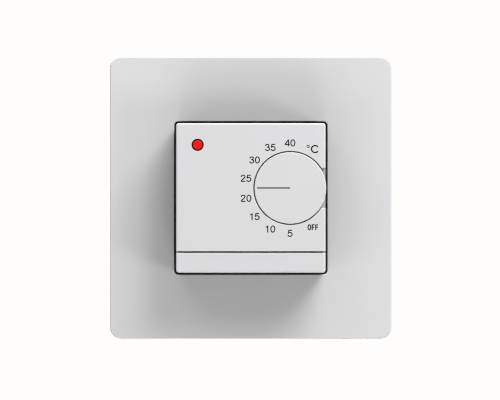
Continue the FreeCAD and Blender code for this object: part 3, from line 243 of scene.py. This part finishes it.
zinc = metal("plated_steel", (0.66, 0.67, 0.69, 1), 0.34, (50, 8000, 8000), 0.1)
bolt = metal("screw_steel", (0.7, 0.69, 0.64, 1), 0.28, (3000, 3000, 3000), 0.0, 0.1)
tin = metal("tinned_metal", (0.74, 0.74, 0.73, 1), 0.25, (2500, 2500, 2500))
can = metal("pot_steel", (0.6, 0.6, 0.6, 1), 0.3, (60, 7000, 7000))
brass = metal("brass", (0.72, 0.52, 0.2, 1), 0.25, (3000, 3000, 3000), 0.0, 0.1)
copper = winding("copper_wire")
board = laminate("board_green")
film = epoxy("film_red", (0.33, 0.03, 0.015, 1), 0.35)
sleeve = epoxy("sleeve_black", (0.015, 0.016, 0.022, 1), 0.25)
varistor = epoxy("varistor_blue", (0.02, 0.09, 0.3, 1), 0.22, 0.00006)
bead = epoxy("sensor_epoxy", (0.012, 0.012, 0.012, 1), 0.2)
led = epoxy("led_epoxy", (0.5, 0.05, 0.04, 1), 0.1)


def lens_material():
    """Polished red lens lit by the diode behind it; its flange, beyond the dome's rim, is painted near-black as the
    shade down in the gap, and does not glow.
    """
    m = Mat("red_lens")
    sep = m.node("ShaderNodeSeparateXYZ", Vector=m.co)
    dx = m.math("SUBTRACT", sep.outputs[0], -16 * MM)
    dz = m.math("SUBTRACT", sep.outputs[2], 16 * MM)
    r = m.math("SQRT", m.math("ADD", m.math("MULTIPLY", dx, dx), m.math("MULTIPLY", dz, dz)))
    lit_dome_vs_painted_shade_flange = m.span(r, 1.0, 0.0, 1.41 * MM, 1.45 * MM)
    glow = m.span(r, 1.0, 0.86, 0.4 * MM, 1.38 * MM)
    grain = m.noise(2600, 3, 0.5)
    cells = m.node("ShaderNodeTexVoronoi", Vector=m.co, Scale=2600.0).outputs["Distance"]
    tone = m.ramp(m.mix(0.35, grain, cells), (0.25, (0.84, 0.006, 0.007)), (0.75, (0.95, 0.012, 0.012)))
    # Beyond the dome's rim the base colour is painted shade: a near-black red for the flange down in the gap.
    m.set(Base_Color=m.mix(lit_dome_vs_painted_shade_flange, (0.012, 0.003, 0.003, 1), tone))
    m.set(Emission_Color=m.mix(1.0, m.mix(lit_dome_vs_painted_shade_flange, (0, 0, 0, 1), m.ramp(glow, (0.0, (0.7, 0.002, 0.003)), (1.0, (1.0, 0.0045, 0.006)))), tone, "MULTIPLY"))
    m.bsdf.inputs["Emission Strength"].default_value = LENS_GLOW
    m.set(Roughness=m.span(grain, 0.16, 0.26))
    m.bsdf.inputs["Specular IOR Level"].default_value = 0.35
    m.bsdf.inputs["Coat Weight"].default_value = 0.15
    m.bsdf.inputs["Coat Roughness"].default_value = 0.12
    return m.m


def print_ink(name, colour):
    """Pad-printed ink: a thin matt film with a faint unevenness."""
    m = Mat(name)
    grain = m.noise(9000, 2, 0.5)
    m.set(Base_Color=m.ramp(grain, (0.3, shade(colour, 0.9)), (0.7, shade(colour, 1.12))))
    m.set(Roughness=m.span(grain, 0.42, 0.6))
    return m.m


LENS_GLOW = 0.5
lens = lens_material()
ink = print_ink("scale_ink", (0.012, 0.012, 0.013, 1))
pointer_ink = print_ink("pointer_ink", (0.285, 0.288, 0.295, 1))

BY_SLOT = {
    "white_plastic": white, "dial_plastic": dial_white, "dark_plastic": dark, "housing_plastic": housing, "plated_steel": zinc,
    "screw_steel": bolt, "pointer_ink": pointer_ink, "red_lens": lens, "led_epoxy": led, "board_green": board, "tinned_metal": tin,
    "black_plastic": black, "pot_steel": can, "track_carbon": carbon, "nylon_shaft": nylon, "brass": brass, "copper_wire": copper,
    "relay_blue": relay_blue, "film_red": film, "sleeve_black": sleeve, "varistor_blue": varistor, "resistor_tan": resistor,
    "sensor_epoxy": bead, "terminal_grey": terminal_grey,
}
for sub in frame["record"]["subparts"]:
    o = frame["nodes"][sub["node"]]
    o.data.materials.clear()
    o.data.materials.append(soot if sub["node"] == "indicator_bezel" else BY_SLOT[sub["material_slot"]])


# ------------------------------------------------------------------ the printed scale round the dial
def bow(cx, cy, rx, ry, start, end, n=18):
    """Points on an ellipse, start to end in degrees."""
    return [(cx + rx * math.cos(math.radians(start + (end - start) * i / n)), cy + ry * math.sin(math.radians(start + (end - start) * i / n)))
            for i in range(n + 1)]


def smooth(points, n=6):
    """A soft curve through the points."""
    out = []
    for i in range(len(points) - 1):
        p0, p1, p2, p3 = points[max(0, i - 1)], points[i], points[i + 1], points[min(len(points) - 1, i + 2)]
        for j in range(n):
            t = j / n
            out.append(tuple(0.5 * (2 * p1[k] + (p2[k] - p0[k]) * t + (2 * p0[k] - 5 * p1[k] + 4 * p2[k] - p3[k]) * t * t
                                    + (3 * p1[k] - p0[k] - 3 * p2[k] + p3[k]) * t ** 3) for k in (0, 1)))
    return out + [points[-1]]


# Each character is drawn one unit high: its width, then the middle lines of its strokes (closed when the last point is the first).
TWO = smooth([(0.075, 0.70), (0.11, 0.83), (0.2, 0.915), (0.335, 0.94), (0.47, 0.91), (0.56, 0.82), (0.575, 0.7), (0.52, 0.58), (0.4, 0.45),
              (0.24, 0.31), (0.13, 0.19), (0.09, 0.062)])
THREE = smooth([(0.075, 0.725), (0.12, 0.85), (0.21, 0.92), (0.325, 0.94), (0.45, 0.91), (0.53, 0.83), (0.54, 0.72), (0.48, 0.61),
                (0.37, 0.56), (0.26, 0.548)])
THREE_LOW = smooth([(0.26, 0.548), (0.41, 0.53), (0.54, 0.46), (0.6, 0.33), (0.58, 0.19), (0.48, 0.09), (0.33, 0.06), (0.19, 0.09),
                    (0.1, 0.175), (0.07, 0.28)])
FIVE = smooth([(0.095, 0.49), (0.2, 0.59), (0.34, 0.62), (0.49, 0.58), (0.59, 0.47), (0.61, 0.32), (0.56, 0.18), (0.45, 0.085),
               (0.32, 0.06), (0.18, 0.09), (0.09, 0.175), (0.065, 0.275)])
GLYPHS = {
    "0": (0.68, [bow(0.34, 0.5, 0.272, 0.442, 0, 360, 36)]),
    "1": (0.68, [[(0.42, 0.0), (0.42, 1.0)], [(0.405, 0.9), (0.33, 0.82), (0.165, 0.74)]]),
    "2": (0.68, [TWO, [(0.02, 0.062), (0.645, 0.062)]]),
    "3": (0.68, [THREE, THREE_LOW]),
    "4": (0.68, [[(0.515, 0.0), (0.515, 1.0)], [(0.0, 0.275), (0.68, 0.275)], [(0.045, 0.3), (0.49, 0.925)]]),
    "5": (0.68, [[(0.155, 0.94), (0.62, 0.94)], [(0.17, 0.955), (0.098, 0.47)], FIVE]),
    "C": (0.94, [bow(0.49, 0.5, 0.42, 0.44, 38, 322, 40)]),
    "O": (0.62, [bow(0.31, 0.5, 0.24, 0.43, 0, 360, 36)]),
    "F": (0.5, [[(0.075, 0.0), (0.075, 1.0)], [(0.075, 0.93), (0.5, 0.93)], [(0.075, 0.52), (0.44, 0.52)]]),
    "°": (0.4, [bow(0.2, 0.8, 0.155, 0.155, 0, 360, 28)]),
}


def stroke(points, half, verts, faces):
    """A flat ribbon along the points, with mitred corners and square ends."""
    closed = math.dist(points[0], points[-1]) < 1e-6
    pts = points[:-1] if closed else points
    n = len(pts)
    base = len(verts)
    for i, p in enumerate(pts):
        a = pts[i - 1] if closed or i else None
        b = pts[(i + 1) % n] if closed or i < n - 1 else None
        dirs = []
        for u, v in ((a, p), (p, b)):
            if u is not None and v is not None:
                d = math.dist(u, v) or 1e-9
                dirs.append(((v[0] - u[0]) / d, (v[1] - u[1]) / d))
        tx, ty = sum(d[0] for d in dirs), sum(d[1] for d in dirs)
        k = math.hypot(tx, ty) or 1e-9
        nx, ny = -ty / k, tx / k
        spread = half / max(0.6, abs(nx * -dirs[0][1] + ny * dirs[0][0]))
        verts.append((p[0] + nx * spread, p[1] + ny * spread))
        verts.append((p[0] - nx * spread, p[1] - ny * spread))
    for i in range(n if closed else n - 1):
        j = (i + 1) % n
        faces.append((base + 2 * i, base + 2 * i + 1, base + 2 * j + 1, base + 2 * j))


def printed(name, text, x, z, size, width=None, weight=0.125, gap=0.1):
    """A flat printed mark on the cover's front face, centred on x, z; size is the height of its characters."""
    verts, faces, at = [], [], 0.0
    for ch in text:
        w, paths = GLYPHS[ch]
        for path in paths:
            stroke([(px + at, py) for px, py in path], weight / 2, verts, faces)
        at += w + gap
    total = at - gap
    k = size
    kx = (width / total) if width else size
    mesh = bpy.data.meshes.new(name)
    mesh.from_pydata([(x + (vx - total / 2) * kx, FACE_Y - 0.012 * MM, z + (vy - 0.5) * k) for vx, vy in verts], [], [f[::-1] for f in faces])
    mesh.update()
    mesh.materials.append(ink)
    piece = bpy.data.objects.new(name, mesh)
    bpy.context.scene.collection.objects.link(piece)
    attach(piece, "casing")
    return piece


# Value: the middle of its mark across and up from the dial's axis, in millimetres.
MARKS = {40: (-0.08, 13.57), 35: (-6.01, 12.20), 30: (-10.75, 8.44), 25: (-13.33, 2.93), 20: (-13.32, -3.10), 15: (-10.83, -8.61),
         10: (-6.11, -12.36), 5: (-0.06, -13.65)}
for value, (dx, dz) in MARKS.items():
    printed("scale_%02d" % value, str(value), KNOB_X + dx * MM, KNOB_Z + dz * MM, 2.08 * MM, (3.2 if value > 9 else 1.5) * MM, 0.152, 0.1)
printed("scale_degree", "°", KNOB_X + 5.38 * MM, KNOB_Z + 11.84 * MM, 2.35 * MM, 0.94 * MM, 0.1)
printed("scale_unit", "C", KNOB_X + 7.42 * MM, KNOB_Z + 11.72 * MM, 2.38 * MM, 2.42 * MM, 0.165)
printed("scale_off", "OFF", KNOB_X + 6.8 * MM, KNOB_Z - 11.84 * MM, 1.68 * MM, 3.16 * MM, 0.2, 0.13)


# ------------------------------------------------------------------ stage, light and camera
def floor_material():
    m = Mat("floor_pale")
    n = m.noise(14, 4, 0.6)
    sep = m.node("ShaderNodeSeparateXYZ", Vector=m.co)
    r = m.math("SQRT", m.math("ADD", m.math("MULTIPLY", sep.outputs[0], sep.outputs[0]), m.math("MULTIPLY", sep.outputs[1], sep.outputs[1])))
    # The floor's colour is painted shade: grey under the object, fading to near-white by 0.156 m out.
    painted_shade_falloff = m.ramp(m.span(r, 0.0, 1.0, 0.085, 0.156), (0.0, (0, 0, 0)), (0.45, (0.2, 0.2, 0.2)), (1.0, (1, 1, 1)))
    grey = m.ramp(n, (0.3, (0.335, 0.334, 0.33)), (0.7, (0.35, 0.349, 0.345)))
    m.set(Base_Color=m.mix(painted_shade_falloff, grey, (0.9, 0.9, 0.897, 1)))
    m.set(Roughness=m.span(n, 0.8, 0.9))
    m.bsdf.inputs["Specular IOR Level"].default_value = 0.2
    return m.m


def floor():
    me = bpy.data.meshes.new("floor")
    r, z, n = 0.16, -0.082, 128
    me.from_pydata([(r * math.cos(2 * math.pi * i / n), r * math.sin(2 * math.pi * i / n), z) for i in range(n)], [], [tuple(range(n))])
    me.materials.append(floor_material())
    o = bpy.data.objects.new("floor", me)
    bpy.context.scene.collection.objects.link(o)
    # The floor is only there to be seen: it takes the object's shadow, and leaves the soft light from below alone.
    o.visible_diffuse = False
    o.visible_glossy = False
    o.visible_shadow = False
    return o


def area(name, place, aim, size, power, colour=(1, 1, 1)):
    l = bpy.data.lights.new(name, "AREA")
    l.shape = "RECTANGLE"
    l.size, l.size_y = size
    l.energy = power
    l.color = colour
    o = bpy.data.objects.new(name, l)
    o.location = place
    o.rotation_mode = "QUATERNION"
    o.rotation_quaternion = (Vector(aim) - Vector(place)).to_track_quat("-Z", "Y")
    bpy.context.scene.collection.objects.link(o)
    return o


def roll_off():
    """Like film, the brightest tones ease into white: linear light up to 0.8 is left alone. Returns the light that gives a tone."""
    vs = bpy.context.scene.view_settings
    vs.view_transform = "Standard"
    vs.look = "None"
    vs.exposure = 0.0
    vs.gamma = 1.0
    vs.use_curve_mapping = True
    cm = vs.curve_mapping
    cm.clip_max_x, cm.clip_max_y = 4.0, 1.0
    curve = cm.curves[3]
    shape = ((0.0, 0.0), (0.25, 0.25), (0.5, 0.5), (0.7, 0.7), (0.8, 0.798), (0.9, 0.865), (1.05, 0.915), (1.35, 0.955), (1.9, 0.984), (3.0, 1.0))
    while len(curve.points) < len(shape):
        curve.points.new(0.5, 0.5)
    for point, place in zip(curve.points, shape):
        point.location = place
        point.handle_type = "AUTO_CLAMPED"
    cm.update()

    def light_for(tone):
        low, high = 0.0, 3.0
        for _ in range(40):
            mid = (low + high) / 2
            low, high = (mid, high) if cm.evaluate(curve, mid) < tone else (low, mid)
        return low
    return light_for


def world(ambient, tint=(1.0, 1.0, 1.0)):
    """The camera sees a plain near-white; the object is lit by a dimmer, even sky."""
    w = bpy.data.worlds.new("studio")
    w.use_nodes = True
    t = w.node_tree
    t.nodes.clear()
    out = t.nodes.new("ShaderNodeOutputWorld")
    mixer = t.nodes.new("ShaderNodeMixShader")
    path = t.nodes.new("ShaderNodeLightPath")
    sky = t.nodes.new("ShaderNodeBackground")
    seen = t.nodes.new("ShaderNodeBackground")
    sky.name, seen.name = "sky", "seen"
    sky.inputs["Color"].default_value = (*tint, 1)
    sky.inputs["Strength"].default_value = ambient
    seen.inputs["Color"].default_value = (*(light_for(lin(c)) for c in (254, 253, 251)), 1)
    seen.inputs["Strength"].default_value = 1.0
    t.links.new(path.outputs["Is Camera Ray"], mixer.inputs["Fac"])
    t.links.new(sky.outputs[0], mixer.inputs[1])
    t.links.new(seen.outputs[0], mixer.inputs[2])
    t.links.new(mixer.outputs[0], out.inputs["Surface"])
    bpy.context.scene.world = w


def softbox(name, across, up, side, power):
    """A square softbox 1.1 m from the object; across and up are degrees off the straight-ahead line."""
    a, e = math.radians(across), math.radians(up)
    place = Vector((math.sin(a) * math.cos(e), -math.cos(a) * math.cos(e), math.sin(e))) * 1.1
    return area(name, place, (0, 0, 0), (side, side), power)


light_for = roll_off()
floor()
world(0.110)
softbox("key_right_high", 60, 60, 0.8, 22.45)
softbox("left_high", -60, 60, 0.8, 4.24)
softbox("below", 0, -70, 0.8, 6.51)
softbox("left_low", -60, -30, 0.8, 3.0)
softbox("right_low", 60, -20, 0.3, 2.87)
# Two more behind the object, for views of its back; the face gets nothing from them.
softbox("behind_left", -165, 35, 0.5, 8.0)
softbox("behind_right", 165, 25, 0.5, 8.0)
bpy.context.scene.cycles.diffuse_bounces = 0
bpy.context.scene.cycles.filter_width = 1.15

cam_data = bpy.data.cameras.new("camera")
cam_data.sensor_width = 36.0
cam_data.lens = 260.9
cam_data.clip_start, cam_data.clip_end = 0.05, 20
cam = bpy.data.objects.new("camera", cam_data)
cam.location = (-0.00023, -1.112, -0.00062)
cam.rotation_euler = (math.radians(90), 0, 0)
bpy.context.scene.collection.objects.link(cam)
bpy.context.scene.camera = cam
